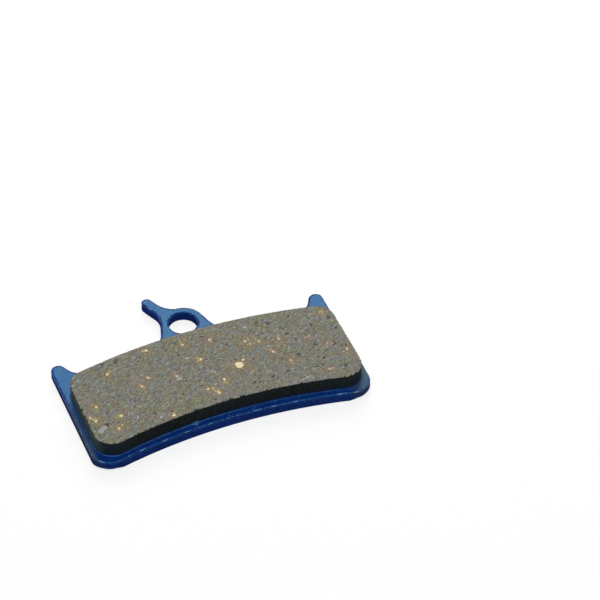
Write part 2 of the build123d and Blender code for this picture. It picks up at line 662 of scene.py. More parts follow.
@dataclass(frozen=True)
class BluePaint:
    """Blue stove paint with a little orange peel, and towards the plate's two ends a grey film of worn-off
    compound that also paints shade.

    Painted highlights lie in dashes by the vertex value edge and more evenly along the bead's crest, and
    painted shade where the vertex value far is high.
    """

    name: str = "blue_paint"
    deep: Colour = (0.002, 0.032, 0.215, 1.0)
    light: Colour = (0.003, 0.046, 0.256, 1.0)
    # Painted highlight: the paler blue towards which edges, the bead's crest and small dots on the hub side
    # are mixed
    painted_highlight: Colour = (0.210, 0.375, 0.680, 1.0)
    # Painted shade on front edges that face away from the hub
    far_edge_shade: Colour = (0.006, 0.020, 0.080, 1.0)
    dapple_low: Colour = (0.68, 0.76, 0.74, 1.0)
    dapple_high: Colour = (1.6, 1.27, 1.30, 1.0)
    # Grey of the film at the plate's ends: worn-off compound together with painted shade
    end_grey: Colour = (0.076, 0.086, 0.060, 1.0)
    sheen: Colour = (0.235, 1.0, 0.85, 1.0)
    specular: float = 0.19
    clouds: Grain = Grain(0.35, 1.8)
    dapple: Grain = Grain(1.8, 3.0)
    peel: Grain = Grain(0.9, 1.6)
    peel_height: float = 0.014
    gloss: Ramp = Ramp(0.0, 1.0, 0.24, 0.34)
    film_dulling: float = 0.4
    far_shade_share: float = 0.95

    # Painted highlights on the edges, and small painted glints on raised dots of paint on the hub side
    dashes: Grain = Grain(1.6, 2.6)
    edge_dashes: Ramp = Ramp(0.35, 0.9, 0.06, 0.26)
    ridge_dashes: Ramp = Ramp(0.2, 0.8, 0.35, 0.75)
    # Painted sparkles of highlight along the edges
    sparks: Specks = Specks(2.6, 0.28, 0.42, 0.6)
    glint_marks: Ramp = Ramp(0.9, 1.6, 0.0, 0.85)
    bump_glints: Specks = Specks(2.2, 0.22, 0.30)
    bumps_middle: float = 4.0
    bumps_along: Ramp = Ramp(5.0, 9.0, 0.6, 0.0)
    bumps_across: Ramp = Ramp(-9.2, -8.4, 1.0, 0.0)
    bumps_height: Ramp = Ramp(1.60, 1.75)

    # Grey film of worn-off compound and painted shade: where it lies along, across and up the plate, and how
    # patchy it is
    left_film: Ramp = Ramp(-23.8, -22.8, 0.66, 0.0)
    right_film: Ramp = Ramp(19.0, 21.5, 0.0, 0.9)
    film_across: Ramp = Ramp(-4.0, 7.0, 1.0, 0.0)
    film_hub_side: Ramp = Ramp(-11.0, -8.0, 0.6, 1.0)
    film_height: Ramp = Ramp(0.1, 0.6)
    film_patches: Ramp = Ramp(0.1, 0.9, 0.65, 1.0)

    def wear(self, sheet: FinishSheet) -> bpy.types.NodeSocket:
        """How far the paint is lightened by painted highlights.

        Args:
            sheet: The paint's sheet.

        Returns:
            Value from 0 to 1: the strongest of the painted highlights on the edges, on the bead's crest and
                on small raised dots, plus painted glints.
        """
        x, y, z = sheet.axes()
        dashes = sheet.grain(self.dashes, sheet.where)
        edge = sheet.vertex_value("edge")
        sparks = sheet.specks(self.sparks, sheet.where)
        broken = sheet.math("ADD", sparks, sheet.ramp(dashes, self.edge_dashes))
        ridge_highlight = sheet.product(sheet.vertex_value("ridge_highlight"), sheet.ramp(dashes, self.ridge_dashes))
        # Painted highlight on the edges' crests and the bead's crest, then painted glints
        worn = sheet.math("MAXIMUM", sheet.product(edge, broken), ridge_highlight)
        worn = sheet.math("ADD", worn, sheet.ramp(edge, self.glint_marks))
        worn = sheet.math("MINIMUM", worn, 1.0)
        # Small painted glints on the hub side's margin
        from_bumps = sheet.math("ABSOLUTE", sheet.math("SUBTRACT", x, self.bumps_middle))
        bump_glints = sheet.product(
            sheet.specks(self.bump_glints, sheet.where),
            sheet.ramp(from_bumps, self.bumps_along),
            sheet.ramp(y, self.bumps_across),
            sheet.ramp(z, self.bumps_height),
        )
        return sheet.math("MAXIMUM", worn, bump_glints)

    def film(self, sheet: FinishSheet, peel: bpy.types.NodeSocket) -> bpy.types.NodeSocket:
        """How much of the grey film, worn-off compound and painted shade together, lies on the paint.

        Args:
            sheet: The paint's sheet.
            peel: The orange peel, which leaves the film patchy.

        Returns:
            Value from 0 to 1.
        """
        x, y, z = sheet.axes()
        return sheet.product(
            sheet.math("ADD", sheet.ramp(x, self.left_film), sheet.ramp(x, self.right_film)),
            sheet.ramp(y, self.film_across),
            sheet.ramp(y, self.film_hub_side),
            sheet.ramp(z, self.film_height),
            sheet.ramp(peel, self.film_patches),
        )

    def material(self, effects: SharedEffects) -> bpy.types.Material:
        """Builds the paint.

        Args:
            effects: Node groups shared by the finishes.

        Returns:
            The material.
        """
        sheet = FinishSheet(self.name, effects)
        clouds, peel = sheet.grain(self.clouds, sheet.where), sheet.grain(self.peel, sheet.where)
        dapple = sheet.mix(sheet.grain(self.dapple, sheet.where), self.dapple_low, self.dapple_high)
        coat = sheet.shaded(sheet.mix(clouds, self.deep, self.light), dapple)
        film = self.film(sheet, peel)
        # Grey film with painted shade over the coat, then the painted highlights
        colour = sheet.mix(self.wear(sheet), sheet.mix(film, coat, self.end_grey), self.painted_highlight)
        # Painted shade on the far-facing front edges, by the vertex value far
        colour = sheet.mix(sheet.product(sheet.vertex_value("far"), self.far_shade_share), colour, self.far_edge_shade)
        gloss = sheet.math("MULTIPLY_ADD", film, self.film_dulling, sheet.ramp(clouds, self.gloss))
        inputs = {"Base Color": colour, "Roughness": gloss}
        inputs |= {"Specular IOR Level": self.specular, "Specular Tint": self.sheen}
        return sheet.finished(inputs, peel, self.peel_height)


@dataclass(frozen=True)
class FrictionCompound:
    """Ground semi-metallic compound: grey-olive binder mottled with minerals, stained round brass and copper.

    Its vertex values say where the brass and copper stains, the pits' painted shade, the rim's painted
    highlight and the dark skin are.
    """

    name: str = "friction_compound"
    roughness: float = 0.8
    specular: float = 0.1
    relief: Grain = Grain(5.0, 2.0)
    relief_height: float = 0.03

    # Binder: four colours that cool and warm clouds mix, then shades of fine grain and of grinding scratches
    olive: Colour = (0.169, 0.193, 0.113, 1.0)
    slate: Colour = (0.164, 0.190, 0.181, 1.0)
    tan: Colour = (0.229, 0.174, 0.116, 1.0)
    mauve: Colour = (0.209, 0.177, 0.176, 1.0)
    cool: Grain = Grain(0.8, 3.0)
    warm: Grain = Grain(1.25, 3.2)
    warm_share: float = 0.9
    grain: Grain = Grain(3.8, 2.6)
    grain_shade: Ramp = Ramp(0.0, 1.0, 0.70, 1.33)
    grinding: float = 33.0
    grinding_stretch: float = 2.6
    scratches: Grain = Grain(2.8, 2.4)
    scratch_shade: Ramp = Ramp(0.0, 1.0, 0.77, 1.26)

    # Grains, stains, painted shade in the pits and a painted highlight along the rim
    pale: Colour = (0.350, 0.350, 0.325, 1.0)
    ochre: Colour = (0.285, 0.215, 0.125, 1.0)
    dark: Colour = (0.050, 0.047, 0.040, 1.0)
    brass: Colour = (0.285, 0.200, 0.090, 1.0)
    copper: Colour = (0.270, 0.168, 0.112, 1.0)
    ochre_grains: Specks = Specks(1.3, 0.10, 0.42, 0.45)
    pale_grains: Specks = Specks(2.2, 0.15, 0.36, 0.65)
    dark_grains: Specks = Specks(2.2, 0.13, 0.27, 0.75)
    patches: Grain = Grain(2.4, 3.0)
    stain_cover: Ramp = Ramp(0.3, 0.8, 0.30, 1.0)
    painted_pit_shade: Ramp = Ramp(0.10, 0.9, 0.0, 0.8)
    rim_glint_share: float = 0.35

    # Moulded skin: soot, with a painted reflection towards the corners, bluer at its foot and paler grey at
    # its left-hand end
    soot: Colour = (0.0185, 0.0240, 0.0235, 1.0)
    soot_grain: Grain = Grain(3.2, 2.6)
    soot_shade: Ramp = Ramp(0.0, 1.0, 0.35, 1.75)
    # Painted reflection on the skin towards the corners
    corner_reflection: Colour = (0.020, 0.038, 0.048, 1.0)
    left_corner: Ramp = Ramp(-21.0, -15.0, 0.8, 0.0)
    right_corner: Ramp = Ramp(12.0, 20.0, 0.0, 0.4)
    foot_blue: Colour = (0.012, 0.040, 0.110, 1.0)
    foot: Ramp = Ramp(1.85, 2.6, 0.8, 0.0)
    end_grey: Colour = (0.086, 0.130, 0.106, 1.0)
    left_end: Ramp = Ramp(-23.2, -21.8, 0.75, 0.0)

    def ground_face(self, sheet: FinishSheet) -> bpy.types.NodeSocket:
        """Colour of the ground face.

        Args:
            sheet: The compound's sheet.

        Returns:
            The colour: mottled binder, ochre and pale grains, stains, dark grains, painted shade in the pits
                and a painted highlight along the rim.
        """
        where = sheet.where
        turning = {"Vector": where, "Rotation": (0.0, 0.0, float(np.radians(self.grinding)))}
        turning |= {"Scale": (self.grinding_stretch, 1.0, 1.0)}
        ground = sheet.add("Mapping", turning, vector_type="TEXTURE").outputs[0]
        cool = sheet.grain(self.cool, where)
        plain, blush = sheet.mix(cool, self.olive, self.slate), sheet.mix(cool, self.tan, self.mauve)
        warm = sheet.product(sheet.grain(self.warm, where), self.warm_share)
        colour = sheet.mix(warm, plain, blush)
        colour = sheet.shaded(colour, sheet.ramp(sheet.grain(self.grain, where), self.grain_shade))
        colour = sheet.shaded(colour, sheet.ramp(sheet.grain(self.scratches, ground), self.scratch_shade))
        colour = sheet.mix(sheet.specks(self.ochre_grains, where), colour, self.ochre)
        colour = sheet.mix(sheet.specks(self.pale_grains, ground), colour, self.pale)
        patchy = sheet.ramp(sheet.grain(self.patches, where), self.stain_cover)
        for stain, tint in (("brass_stain", self.brass), ("copper_stain", self.copper)):
            colour = sheet.mix(sheet.product(sheet.vertex_value(stain), patchy), colour, tint)
        colour = sheet.mix(sheet.specks(self.dark_grains, where), colour, self.dark)
        # Painted shade in the pits, then a painted highlight along the rim
        colour = sheet.mix(sheet.ramp(sheet.vertex_value("cavity"), self.painted_pit_shade), colour, self.dark)
        return sheet.mix(sheet.product(sheet.vertex_value("rim"), self.rim_glint_share), colour, self.pale)

    def moulded_skin(self, sheet: FinishSheet) -> bpy.types.NodeSocket:
        """Colour of the dark skin on the block's sides.

        Args:
            sheet: The compound's sheet.

        Returns:
            The colour: uneven soot, with each tint mixed in along its own ramp.
        """
        x, _, z = sheet.axes()
        uneven = sheet.ramp(sheet.grain(self.soot_grain, sheet.where), self.soot_shade)
        colour = sheet.shaded(self.soot, uneven)
        tints = (
            # Painted reflection towards the corners, bluer towards the foot, paler grey at the left-hand end
            (x, self.left_corner, self.corner_reflection),
            (x, self.right_corner, self.corner_reflection),
            (z, self.foot, self.foot_blue),
            (x, self.left_end, self.end_grey),
        )
        for axis, ramp, tint in tints:
            colour = sheet.mix(sheet.ramp(axis, ramp), colour, tint)
        return colour

    def material(self, effects: SharedEffects) -> bpy.types.Material:
        """Builds the compound, with the dark moulded skin where the vertex value skin is 1.

        Args:
            effects: Node groups shared by the finishes.

        Returns:
            The material.
        """
        sheet = FinishSheet(self.name, effects)
        colour = sheet.mix(sheet.vertex_value("skin"), self.ground_face(sheet), self.moulded_skin(sheet))
        inputs = {"Base Color": colour, "Roughness": self.roughness, "Specular IOR Level": self.specular}
        return sheet.finished(inputs, sheet.grain(self.relief, sheet.where), self.relief_height)


@dataclass(frozen=True)
class ChipFinish:
    """Finish of chips in the compound, from a dull to a bright colour by the vertex value tone."""

    name: str
    dull: Colour
    middle: Colour
    bright: Colour
    roughness: float
    specular: float = 0.2
    to_middle: Ramp = Ramp(0.0, 0.5)
    to_bright: Ramp = Ramp(0.5, 1.0)
    grain: Grain = Grain(6.0, 2.0)
    grain_shade: Ramp = Ramp(0.0, 1.0, 0.70, 1.15)
    relief_height: float = 0.02
    relief_strength: float = 0.8

    def material(self, effects: SharedEffects) -> bpy.types.Material:
        """Builds the finish.

        Args:
            effects: Node groups shared by the finishes.

        Returns:
            The material.
        """
        sheet = FinishSheet(self.name, effects)
        tone = sheet.vertex_value("tone")
        grain = sheet.grain(self.grain, sheet.where)
        colour = sheet.mix(sheet.ramp(tone, self.to_middle), self.dull, self.middle)
        colour = sheet.mix(sheet.ramp(tone, self.to_bright), colour, self.bright)
        colour = sheet.shaded(colour, sheet.ramp(grain, self.grain_shade))
        inputs = {"Base Color": colour, "Roughness": self.roughness, "Specular IOR Level": self.specular}
        return sheet.finished(inputs, grain, self.relief_height, self.relief_strength)


# Copy of the paint with other blues and no sheen, so walls and far edges show no reflection: painted shade
SHEENLESS_PAINT = BluePaint(
    name="blue_paint_without_sheen",
    deep=(0.012, 0.046, 0.270, 1.0),
    light=(0.018, 0.064, 0.320, 1.0),
    specular=0.0,
)
BRASS = ChipFinish(
    name="brass_chips",
    dull=(0.28, 0.215, 0.10, 1.0),
    middle=(0.49, 0.415, 0.19, 1.0),
    bright=(0.84, 0.71, 0.43, 1.0),
    roughness=0.5,
)
COPPER = ChipFinish(
    name="copper_chips",
    dull=(0.24, 0.165, 0.10, 1.0),
    middle=(0.42, 0.325, 0.215, 1.0),
    bright=(0.70, 0.60, 0.44, 1.0),
    roughness=0.5,
)
MINERAL = ChipFinish(
    name="mineral_flakes",
    dull=(0.22, 0.22, 0.20, 1.0),
    middle=(0.34, 0.35, 0.34, 1.0),
    bright=(0.60, 0.62, 0.60, 1.0),
    roughness=0.6,
)


# Backing plate


@dataclass
class BackingPlate:
    """Stamped steel plate under its paint: arched blank, corner horns, ear with its eye, leaning finger."""

    block: ArchedBlock
    half_length: float
    thickness: float
    top_margin: float = 1.9
    bottom_margin: float = 1.25
    bottom_radius: float = 90.0
    corner_radius: float = 3.2
    root_fillet: float = 3.0

    # Horns, ear with the eye, and finger
    horn_height: float = 4.5
    horn_tip_radius: float = 1.2
    horn_flank: float = 62.5
    eye_radius: float = 2.4
    rim_radius: float = 3.75
    eye_rise: float = 3.1
    ear_flank: float = 72.0
    finger_width: float = 1.8
    finger_lean: float = 24.5
    finger_offset: float = 0.7
    finger_reach: float = 8.8
    finger_inner_fillet: float = 3.9
    finger_outer_fillet: float = 3.3

    # Back edge: its break, and what the die rolled in where the outline turns a corner
    back_break: float = 0.1
    back_lip: float = 0.06
    die_roll: float = 0.65
    tip_roll: float = 0.1
    roll_stretch: float = 0.6
    roll_gain: float = 2.6
    hub_facing: tuple[float, float] = (0.1, 0.85)

    # Wall and front edge under the paint, which ran a little
    wall_inset: float = 0.010
    wall_stretch: float = 6.0
    wall_share: tuple[float, float] = (0.12, 0.95)
    wall_run: Noise = Noise(1.3, 21, strength=0.012)
    front_round: float = 0.3
    front_swell: float = 1.05
    coarse_run: Noise = Noise(1.6, 11, strength=0.3)
    fine_run: Noise = Noise(0.45, 12, layers=1, strength=0.12)
    far_roll: float = 0.4
    far_limit: float = 0.25

    # Painted glints on the crest of the front edge, by their places along the hub side and up the finger
    crest_angle: float = 58.0
    crest_width: float = 18.0
    hub_edge_glints: tuple[float, ...] = (-23.0, -16.0, -12.0, -8.0, 4.0, 7.0, 10.5, 18.0, 20.5)
    hub_edge_depth: float = 1.0
    finger_glint: float = 6.4
    glint_reach: float = 0.45

    # Mesh
    spacing: float = 0.12
    cap_inset: float = 0.66
    edge_rows: int = 9
    wall_rows: int = 6

    def blank(self) -> ArchedBlock:
        """Arched blank of the plate.

        Returns:
            The block's outline with the plate's own length, margins, hub side arc and corners.
        """
        top, bottom = self.block.top + self.top_margin, self.block.bottom - self.bottom_margin
        radii = self.block.top_radius + self.top_margin, self.bottom_radius, self.corner_radius
        return ArchedBlock(self.half_length, top, bottom, *radii)

    def eye_centre(self) -> np.ndarray:
        """Middle of the eye."""
        return np.array([0.0, self.blank().top + self.eye_rise])

    def root_arc(self, normal: float, distance: float) -> Arc:
        """Fillet on the right half between a flank and the blank's top edge.

        Args:
            normal: Angle of the flank's outward normal.
            distance: The flank's distance from the origin along that normal.

        Returns:
            Clockwise arc from the flank's side to the top edge's side. Its centre is one fillet outside both:
            the point along the flank that is the top arc's radius plus the fillet from that arc's centre.
        """
        top, reach = self.blank().top_centre(), self.blank().top_radius + self.root_fillet
        foot = unit(normal) * (distance + self.root_fillet)
        along = unit(normal + 90) if unit(normal + 90)[1] > 0 else unit(normal - 90)
        middle = float(along @ (top - foot))
        half = np.sqrt(reach**2 - np.sum((foot - top) ** 2) + middle**2)
        centre = foot + along * (middle + half)
        return Arc(centre, self.root_fillet, *clockwise(normal + 180, heading(top - centre)))

    def horn_arcs(self) -> tuple[Arc, Arc]:
        """Round tip of the right-hand horn and the fillet at its root.

        Returns:
            Both arcs. The tip's outer side is in line with the plate's end.
        """
        top_end = self.blank().top_centre()[1] + np.sqrt(self.blank().top_radius**2 - self.half_length**2)
        radius, normal = self.horn_tip_radius, 90 + self.horn_flank
        tip = np.array([self.half_length - radius, top_end + self.horn_height - radius])
        root = self.root_arc(normal, float(tip @ unit(normal)) + radius)
        return Arc(tip, radius, 0.0, normal), root

    def ear_root(self) -> Arc:
        """Fillet at the root of the ear's right-hand flank.

        Returns:
            Clockwise arc from the top edge to the flank.
        """
        normal = 90 - self.ear_flank
        root = self.root_arc(normal, float(self.eye_centre() @ unit(normal)) + self.rim_radius)
        return Arc(root.centre, root.radius, *clockwise(root.end, root.start))

    def finger_arcs(self) -> list[Arc]:
        """Round stretches from the ear's right-hand flank over the eye and the finger to the left-hand flank.

        Returns:
            The eye's rim, the blend onto the finger's inner side, the finger's end and the blend onto the
            flank. The inner blend touches the rim and the finger, the outer one the finger and the flank.
        """
        eye, half = self.eye_centre(), self.finger_width / 2
        along, across = unit(90 + self.finger_lean), unit(180 + self.finger_lean)
        inner_radius, outer_radius = self.finger_inner_fillet, self.finger_outer_fillet
        side = self.finger_offset - half - inner_radius
        inner = across * side + along * np.sqrt((self.rim_radius + inner_radius) ** 2 - side**2)
        end = eye + across * self.finger_offset + along * (self.finger_reach - half)
        flank_and_side = np.stack([unit(90 + self.ear_flank), across])
        distances = [self.rim_radius + outer_radius, self.finger_offset + half + outer_radius]
        outer = np.linalg.solve(flank_and_side, distances)
        return [
            Arc(eye, self.rim_radius, *anticlockwise(90 - self.ear_flank, heading(inner))),
            Arc(eye + inner, inner_radius, *clockwise(heading(-inner), 180 + self.finger_lean)),
            Arc(end, half, self.finger_lean, 180 + self.finger_lean),
            Arc(eye + outer, outer_radius, *clockwise(self.finger_lean, self.ear_flank - 90)),
        ]

    def outline(self) -> Outline:
        """The plate's outline.

        Returns:
            Anticlockwise outline: hub side edge, right-hand horn, ear with the finger, left-hand horn.
        """
        blank = self.blank()
        top = blank.top_centre()
        horn, horn_root = self.horn_arcs()
        ear_root = self.ear_root()
        shoulder = Arc(top, blank.top_radius, heading(horn_root.centre - top), heading(ear_root.centre - top))
        right = [blank.bottom_corner(), horn, horn_root, shoulder, ear_root]
        left = [arc.mirrored() for arc in reversed(right)]
        return Outline([blank.bottom_arc(), *right, *self.finger_arcs(), *left])

    def rolled_in(self, loop: Outline, travel: np.ndarray) -> np.ndarray:
        """Radius of the back edge along an outline.

        Args:
            loop: The outline.
            travel: Distances along it.

        Returns:
            The plain break, plus what the die rolled in where the outline turns outwards: the sine of the
            turn over a short stretch. At the hub side's corners the roll grows as the edge turns to face
            the hub.
        """
        stretch = self.roll_stretch
        before, here, after = (loop.outward(travel + step) for step in (-stretch, 0.0, stretch))
        sine = before[:, 0] * after[:, 1] - before[:, 1] * after[:, 0]
        turn = np.clip(self.roll_gain * sine, 0, 1)
        hub_roll = self.die_roll * eased(-here[:, 1], *self.hub_facing)
        hub_side = loop.at(travel)[:, 1] < 0
        return self.back_break + turn * np.where(hub_side, hub_roll, self.tip_roll)

    def glints(self, path: np.ndarray) -> np.ndarray:
        """Strength of the painted glints along a path.

        Args:
            path: Plane points of the path.

        Returns:
            Values from 0 to 1: bells about places on the hub side edge and one on the finger's outer side.
        """
        x, y = path[:, 0], path[:, 1]
        bells = np.exp(-(((x[:, None] - np.array(self.hub_edge_glints)) / self.glint_reach) ** 2))
        marks = bells.max(axis=1) * (y < self.blank().bottom + self.hub_edge_depth)
        up, out = unit(90 + self.finger_lean), unit(180 + self.finger_lean)
        glint_place = self.eye_centre() + self.finger_glint * up + (self.finger_offset + self.finger_width / 2) * out
        away = np.linalg.norm(path - glint_place, axis=1) / self.glint_reach
        return np.maximum(marks, np.exp(-(away**2)))

    def edge_profile(
        self, path: np.ndarray, outward: np.ndarray, back: np.ndarray
    ) -> tuple[np.ndarray, np.ndarray, dict[str, np.ndarray]]:
        """Section of the painted edge: back face, rolled-in back edge, wall, round front edge, front face.

        Args:
            path: Plane points of the path.
            outward: Outward unit vector at each of them.
            back: Radius of the back edge at each of them.

        Returns:
            Inset, height and the vertex values edge and far, one line per profile row. Both edges are quarter
            circles. The front one's radius is larger where it faces away from the hub. It and the wall's
            place vary along the path, as the paint ran. Edge, the mask of the paint's painted highlight, is
            highest on the crest of the front edge, and above 1 at the painted glints. Far is how much the
            front edge faces away from the hub, and sets the paint's painted shade there.
        """
        x, y = path[:, 0], path[:, 1]
        away = np.clip(outward[:, 1], 0, 1)
        uneven = self.front_swell + self.coarse_run.at(x, y) + self.fine_run.at(x, y)
        roll = self.front_round * uneven * (1 + self.far_roll * away)
        quarter = np.radians(np.linspace(0, 90, self.edge_rows))[:, None]
        share = np.linspace(*self.wall_share, self.wall_rows)[:, None]
        level = back + share * (self.thickness - back - roll)
        wave = self.wall_run.at(x + y + 0 * share, self.wall_stretch * level + x - y)
        flat = np.ones((1, len(path)))
        inset = [
            (back + self.back_lip) * flat,
            back * (1 - np.cos(quarter[::-1])),
            self.wall_inset + wave,
            roll * (1 - np.cos(quarter)),
            self.cap_inset * flat,
        ]
        height = [
            0 * flat,
            back * (1 - np.sin(quarter[::-1])),
            level,
            self.thickness - roll * (1 - np.sin(quarter)),
            self.thickness * flat,
        ]
        crest = np.exp(-(((np.degrees(quarter) - self.crest_angle) / self.crest_width) ** 2))
        # Edge carries the paint's painted highlight and glints, far its painted shade
        front = {"edge": crest * (1 + self.glints(path)), "far": away + 0 * quarter}
        below = np.zeros((1 + self.edge_rows + self.wall_rows, len(path)))
        values = {label: np.concatenate([below, value, 0 * flat]) for label, value in front.items()}
        return np.concatenate(inset), np.concatenate(height), values

    def edge_finish(self, outward: np.ndarray, rows: int) -> np.ndarray:
        """Finish of each face of a swept edge.

        Args:
            outward: Outward unit vector at each of the path's points.
            rows: Number of profile rows.

        Returns:
            The finish without sheen, which paints shade, on walls and on far front edges, and the face's
            finish elsewhere.
        """
        row = np.repeat(np.arange(rows - 1), len(outward))
        facing = np.tile(outward[:, 1], rows - 1)
        front = self.edge_rows + self.wall_rows
        wall = (row >= self.edge_rows) & (row < front)
        far_edge = (row >= front) & (row < rows - 2) & (facing > self.far_limit)
        return np.where(wall | far_edge, PlateFinish.SHEENLESS_EDGE, PlateFinish.FACE)

    def build(self) -> bpy.types.Object:
        """Works out the painted plate: edge profiles swept round the outline and the eye, and two flat faces.

        Returns:
            The piece.
        """
        eye = Outline([Arc(self.eye_centre(), self.eye_radius, 90.0, -270.0)])
        vertices, faces, finish, marks = [], [], [], []
        flats: dict[bool, tuple[list[np.ndarray], list[np.ndarray]]] = {True: ([], []), False: ([], [])}
        start = 0
        for loop in (self.outline(), eye):
            travel = loop.even_steps(self.spacing)
            path, outward, count = loop.at(travel), loop.outward(travel), len(travel)
            inset, height, values = self.edge_profile(path, outward, self.rolled_in(loop, travel))
            grid, rows = swept_rings(path, outward, inset, height), len(inset)
            vertices.append(grid)
            marks.append(values)
            faces.append(ring_faces(rows, count, start))
            finish.append(self.edge_finish(outward, rows))
            for front, ring in ((False, 0), (True, rows - 1)):
                flats[front][0].append(grid[ring * count : (ring + 1) * count, :2])
                flats[front][1].append(start + ring * count + np.arange(count))
            start += len(grid)
        for front, (rings, numbers) in flats.items():
            faces.append(np.concatenate(numbers)[flat_fill(rings, front)])
            finish.append(np.full(len(faces[-1]), PlateFinish.FACE))
        joined = {label: np.concatenate([m[label].reshape(-1) for m in marks]) for label in marks[0]}
        return make_piece(
            "painted_backing_plate", np.concatenate(vertices), faces, joined, np.concatenate(finish)
        )

    def dress(self, piece: bpy.types.Object, paint: bpy.types.Material, sheenless: bpy.types.Material) -> None:
        """Paints the plate, with the paint without sheen, which paints shade on walls and far edges, as the
        second material.
        """
        for material in (paint, sheenless):
            piece.data.materials.append(material)


# Chips and pits, by their places and sizes


@dataclass(frozen=True)
class Chip:
    """One chip that stands out: its place, length, width, turn in degrees and tone from dull to bright."""

    x: float
    y: float
    length: float
    width: float
    turn: float
    tone: float


@dataclass
class ChipTable:
    """Places and sizes of many chips, one line of values for each."""

    places: np.ndarray
    lengths: np.ndarray
    widths: np.ndarray
    turns: np.ndarray
    tones: np.ndarray
    stain_margin: float = 0.25
    stain_share: float = 0.90
    stain_rim: Noise = Noise(0.5, 95, strength=0.4)

    def joined(self, other: "ChipTable") -> "ChipTable":
        """The chips of both tables in one."""
        columns = ("places", "lengths", "widths", "turns", "tones")
        return ChipTable(*(np.concatenate([getattr(self, c), getattr(other, c)]) for c in columns))

    def stain(self, x: np.ndarray, y: np.ndarray) -> np.ndarray:
        """Smear of metal round the chips.

        Args:
            x: First coordinates.
            y: Second coordinates.

        Returns:
            Values from 0 to 1: the highest of the bells about each chip, somewhat wider than it, made uneven.
        """
        smear = np.zeros_like(x)
        for place, reach in zip(self.places, self.stain_margin + self.stain_share * self.lengths):
            away = np.hypot(x - place[0], y - place[1]) / reach
            smear = np.maximum(smear, np.exp(-(away**2)))
        return np.clip(smear * (1 + self.stain_rim.at(x, y)), 0, 1)


@dataclass(frozen=True)
class ScatteredPits:
    """Pits in a share of the cells of a square lattice, each with its own place in the cell and size."""

    cell: float
    share: float
    seed: int
    place_from: float = 0.3
    place_range: float = 0.4
    smallest: float = 0.12
    size_range: float = 0.16
    rim_cell: float = 0.22
    rim_strength: float = 0.5

    def depth(self, x: np.ndarray, y: np.ndarray) -> np.ndarray:
        """Depth of the pits.

        Args:
            x: First coordinates.
            y: Second coordinates.

        Returns:
            Values from 0 to 1: in a cell with a pit, 1 less the square of the distance over the uneven size.
        """
        column, row = np.floor(x / self.cell), np.floor(y / self.cell)
        chance, right, up, size = (lattice_value(column, row, self.seed + n) for n in range(4))
        middle_x = column + self.place_from + self.place_range * right
        middle_y = row + self.place_from + self.place_range * up
        uneven = 1 + Noise(self.rim_cell, self.seed + 4, layers=1, strength=self.rim_strength).at(x, y)
        reach = (self.smallest + self.size_range * size) * uneven
        away = np.hypot(x / self.cell - middle_x, y / self.cell - middle_y) / reach
        return (chance < self.share) * np.clip(1 - away**2, 0, 1)


# Friction block


